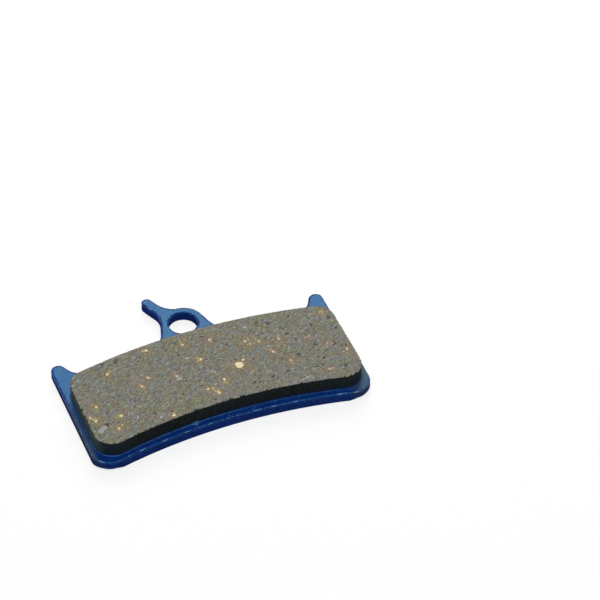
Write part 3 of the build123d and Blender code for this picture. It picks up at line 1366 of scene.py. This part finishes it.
@dataclass
class FrictionBlock:
    """Moulded block of friction compound: ground face, crumbling rim and a dark skin on its sides."""

    half_length: float
    base: float
    face: float
    height: float = 17.3
    top_radius: float = 96.0
    bottom_radius: float = 84.0
    corner_radius: float = 3.2

    # Rim: crumbs lost from it, and wear at its left-hand end
    crumble: float = 0.50
    coarse_crumbs: Noise = Noise(0.6, 51)
    fine_crumbs: Noise = Noise(0.24, 52, layers=1, strength=0.6)
    crumbs_anywhere: float = 0.2
    worn_left: float = 0.18
    worn_middle: float = -5.0
    worn_reach: float = 2.0
    rim_glint: Noise = Noise(0.7, 81, strength=1.6)
    rim_glint_base: float = 0.2
    rim_glint_steps: float = 3.0

    # Walls: how they wave, and how far they stay below and behind a crumbled rim
    wall_inset: float = 0.03
    wall_wave: Noise = Noise(0.9, 61, strength=0.028)
    wall_slant: float = 0.7
    wall_stretch: float = 2.6
    lip: float = 0.08
    lip_crumbs: float = 0.4
    lip_worn: float = 0.8
    lip_curve: int = 6

    # Ground face
    grain_depth: float = 0.022
    face_grain: Noise = Noise(0.35, 71)
    edge_drop: float = 0.03
    pit_depth: float = 0.13
    pit_margin: int = 6
    scattered_pits: tuple[ScatteredPits, ...] = (ScatteredPits(0.9, 0.10, 31), ScatteredPits(1.9, 0.08, 41))
    deep_pits: tuple[Place, ...] = (
        (14.0, 2.0), (18.5, 2.5), (17.5, -2.0), (11.0, -6.0), (17.5, -5.5), (12.0, 5.5),
    )
    deep_pit_size: float = 0.36
    deep_pit_rim: Noise = Noise(0.25, 47, layers=1, strength=0.6)

    # Mesh
    columns: int = 420
    lines: int = 170
    wall_rows: int = 16

    def shape(self) -> ArchedBlock:
        """Outline of the block."""
        radii = self.top_radius, self.bottom_radius, self.corner_radius
        return ArchedBlock(self.half_length, self.height / 2, -self.height / 2, *radii)

    def sides(self, outline: Outline) -> np.ndarray:
        """Distances along the outline of the vertices on its hub side, right, ear side and left.

        Args:
            outline: The block's outline.

        Returns:
            Distances from the hub side's left-hand corner right round, in even steps along each side.
        """
        corners = [self.shape().bottom_corner(), self.shape().top_corner()]
        low, high = (arc.centre + arc.radius * unit((arc.start + arc.end) / 2) for arc in corners)
        stops = [outline.nearest(corner) for corner in (mirrored(low), low, high, mirrored(high))]
        stops = np.unwrap([*stops, stops[0]], period=outline.length)
        stops[-1] = stops[0] + outline.length
        counts = [self.columns, self.lines, self.columns, self.lines]
        runs = zip(stops[:-1], stops[1:], counts)
        return np.concatenate([np.linspace(start, end, count, endpoint=False) for start, end, count in runs])

    def face_grid(self, rim: np.ndarray) -> np.ndarray:
        """Grid of plane points over the face: a patch blended between its four sides.

        Args:
            rim: Plane points of the rim, in the order of sides().

        Returns:
            Points by line and column. Each is the blend of the two points across plus the blend of the two
            points along, less the blend of the four corners.
        """
        c, n = self.columns, self.lines
        loop = np.vstack([rim, rim[:1]])
        low, right = loop[: c + 1], loop[c : c + n + 1]
        high, left = loop[c + n : 2 * c + n + 1][::-1], loop[2 * c + n :][::-1]
        u = np.linspace(0, 1, c + 1)[None, :, None]
        v = np.linspace(0, 1, n + 1)[:, None, None]
        across = (1 - v) * low[None] + v * high[None]
        along = (1 - u) * left[:, None] + u * right[:, None]
        corners = (1 - v) * ((1 - u) * low[0] + u * low[-1]) + v * ((1 - u) * high[0] + u * high[-1])
        return across + along - corners

    def rim_distance(self) -> np.ndarray:
        """How many grid steps each point of the face lies from the rim, by line and column."""
        counts = [np.arange(steps + 1) for steps in (self.lines, self.columns)]
        return np.minimum.outer(*(np.minimum(count, count[::-1]) for count in counts))

    def pits(self, x: np.ndarray, y: np.ndarray) -> np.ndarray:
        """Depth of the pits where grains broke out.

        Args:
            x: First coordinates.
            y: Second coordinates.

        Returns:
            Values from 0, the face, to 1, the bottom of a pit: the deepest of the scattered pits and a few
            chosen ones, in which it is 1 less the square of the distance over the uneven size.
        """
        chosen = np.array(self.deep_pits)
        away = np.hypot(x[..., None] - chosen[:, 0], y[..., None] - chosen[:, 1]).min(axis=-1)
        away = away / (self.deep_pit_size * (1 + self.deep_pit_rim.at(x, y)))
        scattered = [pits.depth(x, y) for pits in self.scattered_pits]
        return np.maximum.reduce([*scattered, np.clip(1 - away**2, 0, 1)])

    def crumbs(self, path: np.ndarray, outward: np.ndarray) -> np.ndarray:
        """Depth of the crumbs lost from the rim, most on the hub side and at the left-hand end.

        Args:
            path: Plane points of the outline.
            outward: Outward unit vector at each of them.

        Returns:
            One depth for each point: the part of two fields of noise above 0, times a share by direction.
        """
        x, y = path[:, 0], path[:, 1]
        loss = np.clip(self.coarse_crumbs.at(x, y) + self.fine_crumbs.at(x, y), 0, 1)
        facing = np.clip(-outward, 0, 1).max(axis=1)
        return self.crumble * loss * (self.crumbs_anywhere + (1 - self.crumbs_anywhere) * facing)

    def worn(self, path: np.ndarray, outward: np.ndarray) -> np.ndarray:
        """Depth of the wear at the left-hand end: a bell across the pad, where the outline faces left."""
        bell = np.exp(-(((path[:, 1] - self.worn_middle) / self.worn_reach) ** 2))
        return self.worn_left * np.clip(-outward[:, 0], 0, 1) * bell

    def wall(self, path: np.ndarray, outward: np.ndarray, crumbs: np.ndarray, worn: np.ndarray) -> np.ndarray:
        """Rings of the wall, from the plate up to just under the rim.

        Args:
            path: Plane points of the outline.
            outward: Outward unit vector at each of them.
            crumbs: Depth of the crumbs at each of them.
            worn: Depth of the wear at each of them.

        Returns:
            Vertices row by row: the outline moved in by a wave, and at the top also by a share of the crumbs.
        """
        x, y = path[:, 0], path[:, 1]
        share = np.linspace(0, 1, self.wall_rows)[:, None]
        drop = self.lip + self.lip_crumbs * crumbs + self.lip_worn * worn
        height = self.base + share * (self.face - self.base - drop)
        wave = self.wall_wave.at(x + self.wall_slant * y + 0 * share, self.wall_stretch * height + y - x)
        inset = self.wall_inset + wave + share**self.lip_curve * self.lip_crumbs * crumbs
        return swept_rings(path, outward, inset, height)

    def build(self, chips: dict[str, ChipTable]) -> bpy.types.Object:
        """Works out the block: walls up to a ragged rim, the ground face, and the flat side on the plate.

        Args:
            chips: Chips that stain the face round them, by the name of the stain.

        Returns:
            The piece. The face is a grid that dips by its grain and its pits and, by a little, along the rim.
        """
        outline = self.shape().outline()
        travel = self.sides(outline)
        path, outward, count = outline.at(travel), outline.outward(travel), len(travel)
        crumbs, worn = self.crumbs(path, outward), self.worn(path, outward)
        wall = self.wall(path, outward, crumbs, worn)

        grid = self.face_grid(path - outward * (crumbs + worn)[:, None])
        x, y = grid[..., 0], grid[..., 1]
        from_rim = self.rim_distance()
        pits = self.pits(x, y) * np.clip(from_rim / self.pit_margin, 0, 1)
        dips = self.grain_depth * (1 - self.face_grain.at(x, y)) / 2 + self.edge_drop * (from_rim == 0)
        level = self.face - dips - self.pit_depth * pits
        face = np.concatenate([grid, level[..., None]], axis=-1).reshape(-1, 3)
        # The values cavity and rim give the pits painted shade and the rim a painted highlight
        glint = np.clip(self.rim_glint_base + self.rim_glint.at(x, y), 0, 1)
        values = {"skin": 0 * pits, "cavity": pits, "rim": np.exp(-from_rim / self.rim_glint_steps) * glint}
        values |= {label: table.stain(x, y) for label, table in chips.items()}
        on_wall = {label: np.full(len(wall), float(label == "skin")) for label in values}

        number = len(wall) + np.arange(from_rim.size).reshape(from_rim.shape)
        cells = np.stack([number[:-1, :-1], number[:-1, 1:], number[1:, 1:], number[1:, :-1]], axis=-1)
        loop = np.concatenate([number[0, :-1], number[:-1, -1], number[-1, :0:-1], number[:0:-1, 0]])
        upper = len(wall) - count + np.arange(count)
        lip = np.stack([upper, np.roll(upper, -1), np.roll(loop, -1), loop], axis=-1)
        under = np.arange(count)[flat_fill([wall[:count, :2]], False)]
        return make_piece(
            "ground_friction_block",
            np.concatenate([wall, face]),
            [ring_faces(self.wall_rows, count), lip, cells.reshape(-1, 4), under],
            {label: np.concatenate([on_wall[label], values[label].reshape(-1)]) for label in values},
        )

    def dress(self, piece: bpy.types.Object, compound: bpy.types.Material) -> None:
        """Gives the block its compound."""
        piece.data.materials.append(compound)


# Paint bead


@dataclass
class PaintBead:
    """Bead of paint that ran into the corner where the block stands on the plate."""

    shape: ArchedBlock
    plate_face: float
    reach: float = 0.20
    rise: float = 0.16
    uneven: Noise = Noise(1.4, 91, strength=0.45)
    behind: float = 0.12
    sunk: float = 0.05

    # One blister on the hub side
    blister: Place = (-6.2, -8.9)
    blister_size: float = 0.42
    blister_reach: float = 0.38
    blister_rise: float = 0.16
    blister_shine: float = 0.5

    # Shine: everywhere, more on the left of a place along the pad, and in patches
    shine: float = 0.10
    left_shine: float = 0.32
    left_end: float = 3.0
    left_fade: float = 2.0
    patches: Noise = Noise(0.9, 93)
    patch_shine: float = 0.4

    # Mesh
    spacing: float = 0.12
    crest_rows: int = 7

    def build(self) -> bpy.types.Object:
        """Works out the bead: a closed section carried round the block's foot.

        Returns:
            The piece. The section's front is a quarter ellipse, whose reach and rise vary along the path and
            grow at the blister.
        """
        outline = self.shape.outline()
        travel = outline.even_steps(self.spacing)
        path = outline.at(travel)
        x, y = path[:, 0], path[:, 1]
        uneven = 1 + self.uneven.at(x, y)
        swell = np.exp(-(np.hypot(x - self.blister[0], y - self.blister[1]) ** 2) / self.blister_size**2)
        reach = self.reach * uneven + self.blister_reach * swell
        rise = self.rise * uneven + self.blister_rise * swell
        turn = np.radians(np.linspace(0, 90, self.crest_rows))[:, None]
        flat = np.ones((1, len(travel)))
        inset = [-reach * np.cos(turn), self.behind * flat, self.behind * flat, -reach[None]]
        height = [rise * np.sin(turn), rise[None], -self.sunk * flat, -self.sunk * flat]
        # Painted highlight along the bead's crest: some everywhere, more on the left, in patches and on the
        # blister
        shine = self.shine + self.left_shine / (1 + np.exp((x - self.left_end) / self.left_fade))
        shine = shine + self.patch_shine * np.clip(self.patches.at(x, y), 0, 1)
        ridge_highlight = np.concatenate([np.sin(2 * turn) * shine, 0 * flat, 0 * flat, 0 * flat])
        ridge_highlight = ridge_highlight + self.blister_shine * swell
        inset, height = np.concatenate(inset), self.plate_face + np.concatenate(height)
        return make_piece(
            "paint_bead",
            swept_rings(path, outline.outward(travel), inset, height),
            [ring_faces(len(inset), len(travel), tube=True)],
            {"ridge_highlight": ridge_highlight.reshape(-1)},
        )

    def dress(self, piece: bpy.types.Object, paint: bpy.types.Material) -> None:
        """Gives the bead the plate's paint."""
        piece.data.materials.append(paint)


# Chips and flakes


@dataclass
class FillerChips:
    """Brass and copper chips and mineral flakes in the compound, ground nearly flush with its face."""

    block: FrictionBlock
    rim_margin: int = 8

    # Chips and flakes that stand out, and places where chips lie together
    large_brass: tuple[Chip, ...] = (
        Chip(4.2, -1.8, 1.6, 1.35, 80.0, 0.93),
        Chip(5.1, -1.0, 0.6, 0.4, 45.0, 0.85),
    )
    large_flakes: tuple[Chip, ...] = (
        Chip(-20.9, -7.0, 1.1, 0.8, 35.0, 0.72),
        Chip(-21.5, -7.5, 2.2, 1.05, 45.0, 0.35),
        Chip(-6.0, -1.2, 1.1, 0.7, 20.0, 0.45),
        Chip(-3.3, 2.8, 0.9, 0.4, 20.0, 0.65),
    )
    brass_groups: tuple[Place, ...] = (
        (-9.0, 6.5), (-2.5, 6.5), (-12.0, -0.5), (-10.5, 1.0), (-20.5, -2.0), (-21.5, -5.0),
        (-18.5, -8.0), (-18.0, -5.5), (-16.0, 4.5), (-22.0, -4.0), (-1.5, -6.0), (-9.5, -8.0),
        (-2.0, -5.5), (-1.5, 2.0), (1.0, -4.5), (7.5, 2.5), (9.0, 2.5), (21.0, 4.5),
    )
    copper_groups: tuple[Place, ...] = (
        (1.5, 5.0), (10.5, -1.0), (12.0, 1.5), (12.5, -4.5), (17.0, 0.0), (19.5, -3.0),
        (-6.0, 0.0), (21.5, -5.5), (17.5, -8.0),
    )

    # Each group: a bright chip and smaller, duller ones about it
    group_lengths: tuple[float, ...] = (0.64, 0.48, 0.38, 0.32, 0.26)
    group_tones: tuple[float, ...] = (0.74, 0.58, 0.46, 0.37, 0.28)
    group_spread: float = 0.42
    group_limit: float = 1.2
    size_shares: tuple[float, float] = (0.8, 1.2)
    tone_spread: float = 0.12
    group_widths: tuple[float, float] = (0.6, 0.9)
    group_turn: float = 67.0
    group_turn_spread: float = 25.0

    # Crumbs of metal over the whole face
    crumb_smallest: float = 0.10
    crumb_range: float = 0.20
    crumb_power: float = 2.0
    crumb_widths: tuple[float, float] = (0.5, 0.95)
    crumb_brightest: float = 0.45

    # Splinters of mineral along the grinding
    splinter_shortest: float = 0.14
    splinter_range: float = 0.60
    splinter_power: float = 2.5
    splinter_widths: tuple[float, float] = (0.11, 0.22)
    splinter_dullest: float = 0.3
    grinding: float = 33.0
    grinding_spread: float = 22.0

    # Form of a chip
    corners: int = 9
    corner_shift: float = 0.3
    corner_reach: tuple[float, float] = (0.72, 1.12)
    tilt: float = 0.06
    stand: float = 0.025
    root: float = 0.16
    root_spread: float = 1.1

    def scattered(self, count: int, draw: np.random.Generator) -> np.ndarray:
        """Random places on the face.

        Args:
            count: How many.
            draw: Source of random numbers.

        Returns:
            One plane point for each, picked from the face's grid away from its rim.
        """
        outline = self.block.shape().outline()
        grid = self.block.face_grid(outline.at(self.block.sides(outline)))
        line = draw.integers(self.rim_margin, self.block.lines - self.rim_margin, count)
        column = draw.integers(self.rim_margin, self.block.columns - self.rim_margin, count)
        return grid[line, column]

    def known(self, chips: tuple[Chip, ...]) -> ChipTable:
        """Table of chips given one by one."""
        rows = np.array([(chip.x, chip.y, chip.length, chip.width, chip.turn, chip.tone) for chip in chips])
        return ChipTable(rows[:, :2], rows[:, 2], rows[:, 3], rows[:, 4], rows[:, 5])

    def grouped(self, groups: tuple[Place, ...], draw: np.random.Generator) -> ChipTable:
        """Chips that lie together in groups, a bright one and smaller, duller ones about it.

        Args:
            groups: Middle of each group.
            draw: Source of random numbers.

        Returns:
            Their table, each chip off its group's middle by a random step.
        """
        each = len(self.group_lengths)
        count = each * len(groups)
        size = np.tile(self.group_lengths, len(groups)) * draw.uniform(*self.size_shares, count)
        tone = np.tile(self.group_tones, len(groups)) + draw.normal(0, self.tone_spread, count)
        step = np.clip(draw.normal(0, 1, (count, 2)), -self.group_limit, self.group_limit)
        width = size * draw.uniform(*self.group_widths, count)
        turn = draw.normal(self.group_turn, self.group_turn_spread, count)
        places = np.repeat(groups, each, axis=0) + self.group_spread * step
        return ChipTable(places, size, width, turn, np.clip(tone, 0, 1))

    def crumbs(self, count: int, draw: np.random.Generator) -> ChipTable:
        """Small dull chips of metal, scattered over the face.

        Args:
            count: How many.
            draw: Source of random numbers.

        Returns:
            Their table.
        """
        size = self.crumb_smallest + self.crumb_range * draw.random(count) ** self.crumb_power
        places = self.scattered(count, draw)
        width = size * draw.uniform(*self.crumb_widths, count)
        turn = draw.uniform(0, 180, count)
        return ChipTable(places, size, width, turn, draw.uniform(0, self.crumb_brightest, count))

    def splinters(self, count: int, draw: np.random.Generator) -> ChipTable:
        """Small mineral flakes that mostly lie along the grinding direction.

        Args:
            count: How many.
            draw: Source of random numbers.

        Returns:
            Their table.
        """
        length = self.splinter_shortest + self.splinter_range * draw.random(count) ** self.splinter_power
        places = self.scattered(count, draw)
        width = np.minimum(length, draw.uniform(*self.splinter_widths, count))
        turn = draw.normal(self.grinding, self.grinding_spread, count)
        tone = self.splinter_dullest + (1 - self.splinter_dullest) * draw.random(count)
        return ChipTable(places, length, width, turn, tone)

    def build(self, name: str, table: ChipTable, draw: np.random.Generator) -> bpy.types.Object:
        """Works out all chips of a table at once.

        Args:
            name: Name of the piece.
            table: Places and sizes.
            draw: Source of random numbers.

        Returns:
            The piece. Each chip is a slightly tilted facet with an uneven rim, an ellipse whose radius varies
            from corner to corner, on a skirt that goes into the face.
        """
        count, k = len(table.places), self.corners
        shift = draw.uniform(-self.corner_shift, self.corner_shift, (count, k))
        angle = 2 * np.pi * (np.arange(k) + shift) / k
        uneven = draw.uniform(*self.corner_reach, (count, k)) / 2
        tilt = draw.uniform(-self.tilt, self.tilt, (count, 2))
        along = table.lengths[:, None] * uneven * np.cos(angle)
        across = table.widths[:, None] * uneven * np.sin(angle)
        axes = np.stack([unit(table.turns), unit(table.turns + 90)], axis=1)
        around = np.stack([along, across], axis=-1) @ axes
        top_z = self.block.face + self.stand + np.sum(around * tilt[:, None], axis=-1)
        foot_z = np.full((count, k), self.block.face - self.root)
        middles = table.places[:, None]
        top = np.concatenate([middles + around, top_z[..., None]], axis=-1)
        foot = np.concatenate([middles + self.root_spread * around, foot_z[..., None]], axis=-1)

        first, step = 2 * k * np.arange(count)[:, None], np.arange(k)
        beside = (step + 1) % k
        skirts = np.stack([first + k + step, first + k + beside, first + beside, first + step], axis=-1)
        faces = [first + step, skirts.reshape(-1, 4), first + k + step[::-1]]
        vertices = np.concatenate([top, foot], axis=1).reshape(-1, 3)
        return make_piece(name, vertices, faces, {"tone": np.repeat(table.tones, 2 * k)}, smooth=False)

    def dress(self, piece: bpy.types.Object, chip_finish: bpy.types.Material) -> None:
        """Gives chips of one kind their finish."""
        piece.data.materials.append(chip_finish)


# Stage


@dataclass(frozen=True)
class SoftLamp:
    """Square soft lamp that looks at the pad: its place and side in metres, and its power in watts."""

    name: str
    place: tuple[float, float, float]
    size: float
    watts: float


@dataclass
class Studio:
    """Pale floor, soft light and the camera of the photograph's view."""

    camera_place: tuple[float, float, float] = (-107.2, -300.0, 323.5)
    azimuth: float = -22.249
    elevation: float = 43.723
    roll: float = 0.147
    lens: float = 166.08
    sensor: float = 36.0
    floor_reach: float = 3000.0
    floor_drop: float = 0.05
    floor_bounce: float = 0.30
    floor_share_lit: float = 0.18
    white: Colour = (1.0, 1.0, 1.0, 1.0)
    surroundings: Colour = (0.9, 0.95, 1.0, 1.0)
    surroundings_strength: float = 0.25
    lamps: tuple[SoftLamp, ...] = (
        SoftLamp("back_softbox", (0.161, 0.402, 0.420), 0.33, 2.74),
        SoftLamp("top_softbox", (-0.05, -0.16, 0.68), 0.42, 1.66),
    )

    def hang(
        self, name: str, data: Any, place: np.ndarray, right: np.ndarray, back: np.ndarray
    ) -> bpy.types.Object:
        """Puts a camera or a lamp in its place.

        Args:
            name: Its name.
            data: Its camera or light data.
            place: Its place, in metres.
            right: Unit vector to its right.
            back: Unit vector away from what it looks at.

        Returns:
            The object.
        """
        turn = np.eye(4)
        turn[:3, :3] = np.stack([right, np.cross(back, right), back], axis=1)
        turn[:3, 3] = place
        hung = bpy.data.objects.new(name, data)
        hung.matrix_world = Matrix(turn.tolist())
        bpy.context.scene.collection.objects.link(hung)
        return hung

    def camera(self) -> None:
        """Places the camera, its back axis along the view and its right axis level but for the roll."""
        a, e, r = np.radians([self.azimuth, self.elevation, self.roll])
        back = np.array([np.sin(a) * np.cos(e), -np.cos(a) * np.cos(e), np.sin(e)])
        level = np.array([np.cos(a), np.sin(a), 0.0])
        right = level * np.cos(r) + np.cross(back, level) * np.sin(r)
        data = bpy.data.cameras.new("photo_view")
        data.lens = self.lens
        data.sensor_width = self.sensor
        place = np.array(self.camera_place) * MM
        bpy.context.scene.camera = self.hang("photo_view", data, place, right, back)

    def lamp(self, lamp: SoftLamp) -> None:
        """Hangs a lamp, level across the pad's length and facing the pad.

        Args:
            lamp: The lamp.
        """
        data = bpy.data.lights.new(lamp.name, "AREA")
        data.shape = "SQUARE"
        data.size = lamp.size
        data.energy = lamp.watts
        back = np.array(lamp.place) / np.linalg.norm(lamp.place)
        right = np.cross([0.0, 1.0, 0.0], back)
        right /= np.linalg.norm(right)
        self.hang(lamp.name, data, np.array(lamp.place), right, back)

    def floor(self) -> None:
        """Lays a floor that is white to the camera and in reflections, and grey to light that bounces off."""
        corners = np.array([(-1, -1), (1, -1), (1, 1), (-1, 1)]) * self.floor_reach
        plane = np.concatenate([corners, np.full((4, 1), -self.floor_drop)], axis=1)
        floor = make_piece("floor", plane, [np.array([[0, 1, 2, 3]])])
        material = bpy.data.materials.new("floor")
        material.use_nodes = True
        sheet = NodeSheet(material.node_tree)
        path = sheet.add("LightPath").outputs
        seen = sheet.math("MAXIMUM", path["Is Camera Ray"], path["Is Glossy Ray"])
        seen = sheet.math("MAXIMUM", seen, path["Is Transmission Ray"])
        grey = (self.floor_bounce, self.floor_bounce, self.floor_bounce, 1.0)
        matt = sheet.add("BsdfDiffuse", {"Color": grey}).outputs[0]
        lit = sheet.add("BsdfDiffuse", {"Color": self.white}).outputs[0]
        glow = sheet.add("Emission", {"Color": self.white, "Strength": 1.0}).outputs[0]
        shown = sheet.add("MixShader", {0: self.floor_share_lit, 1: glow, 2: lit}).outputs[0]
        mixed = sheet.add("MixShader", {0: seen, 1: matt, 2: shown}).outputs[0]
        sheet.add("OutputMaterial", {"Surface": mixed})
        floor.data.materials.append(material)

    def world(self) -> None:
        """Fills the surroundings with a weak even light."""
        world = bpy.data.worlds.new("surroundings")
        world.use_nodes = True
        sheet = NodeSheet(world.node_tree)
        inputs = {"Color": self.surroundings, "Strength": self.surroundings_strength}
        sheet.add("OutputWorld", {"Surface": sheet.add("Background", inputs).outputs[0]})
        bpy.context.scene.world = world

    def build(self) -> None:
        """Sets up the view and everything round the pad."""
        bpy.context.scene.view_settings.view_transform = "Standard"
        self.camera()
        self.floor()
        self.world()
        for lamp in self.lamps:
            self.lamp(lamp)


# Whole pad


RANDOM_SEED = 17
BRASS_CRUMBS, COPPER_CRUMBS, MINERAL_SPLINTERS = 60, 45, 170


def main() -> None:
    """Builds the pad's pieces, dresses them and sets the stage."""
    logging.basicConfig(level=logging.INFO)
    draw = np.random.default_rng(RANDOM_SEED)
    effects = SharedEffects(GrainEffect().group(), SpeckEffect().group())
    paint = BluePaint().material(effects)

    plate_size = node_corners("backing_plate")[1]
    block_low, block_high = node_corners("friction_block")
    block = FrictionBlock(block_high[0], block_low[2], block_high[2])
    plate = BackingPlate(block.shape(), plate_size[0], plate_size[2])
    bead = PaintBead(block.shape(), plate_size[2])
    chips = FillerChips(block)

    painted_plate = plate.build()
    plate.dress(painted_plate, paint, SHEENLESS_PAINT.material(effects))
    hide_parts("backing_plate")
    metals = {
        "brass_stain": chips.known(chips.large_brass).joined(chips.grouped(chips.brass_groups, draw)),
        "copper_stain": chips.grouped(chips.copper_groups, draw),
    }
    ground_block = block.build(metals)
    block.dress(ground_block, FrictionCompound().material(effects))
    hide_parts("friction_block")
    paint_bead = bead.build()
    bead.dress(paint_bead, paint)
    brass_table = metals["brass_stain"].joined(chips.crumbs(BRASS_CRUMBS, draw))
    brass = chips.build("brass_chips", brass_table, draw)
    chips.dress(brass, BRASS.material(effects))
    copper_table = metals["copper_stain"].joined(chips.crumbs(COPPER_CRUMBS, draw))
    copper = chips.build("copper_chips", copper_table, draw)
    chips.dress(copper, COPPER.material(effects))
    flake_table = chips.known(chips.large_flakes).joined(chips.splinters(MINERAL_SPLINTERS, draw))
    flakes = chips.build("mineral_flakes", flake_table, draw)
    chips.dress(flakes, MINERAL.material(effects))

    slots = {painted_plate: Slot.PAINT, paint_bead: Slot.PAINT}
    slots |= {piece: Slot.COMPOUND for piece in (ground_block, brass, copper, flakes)}
    for piece, slot in slots.items():
        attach(piece, "root")
        log.info("%s: %d faces", piece.name, len(piece.data.polygons))
    Studio().build()


if __name__ == "__main__":
    main()
